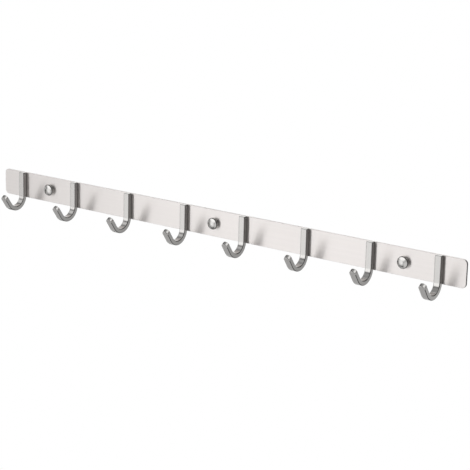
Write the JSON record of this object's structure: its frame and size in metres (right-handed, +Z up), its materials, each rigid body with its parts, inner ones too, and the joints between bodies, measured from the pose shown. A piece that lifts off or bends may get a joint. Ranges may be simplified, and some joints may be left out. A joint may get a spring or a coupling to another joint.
{
  "type": "hook rail",
  "caption": "Wall-mounted hook rail: a long flat steel plate with rounded corners, a row of J-shaped flat-bar hooks and round caps over its wall screws.",
  "frame": {"origin": "centre of the back plate's back face, which lies against the wall", "axes": "+X along the rail, +Y into the wall, +Z up; the hooks stand out towards -Y"},
  "size_m": [0.62, 0.0389, 0.043],
  "materials": {
    "plate": "satin, brushed along its length",
    "hook": "fine satin, nearly polished",
    "cap": "polished",
    "seat": "plain turned steel",
    "screw": "plain machine screw"
  },
  "bodies": {
    "root": {"back_plate": "plate", "hook_1": "hook", "hook_2": "hook", "hook_3": "hook", "hook_4": "hook", "hook_5": "hook", "hook_6": "hook", "hook_7": "hook", "hook_8": "hook", "hook_screws": "screw", "screw_cap_left": "cap", "screw_cap_middle": "cap", "screw_cap_right": "cap", "screw_seat_left": "seat", "screw_seat_middle": "seat", "screw_seat_right": "seat"}
  },
  "joints": []
}
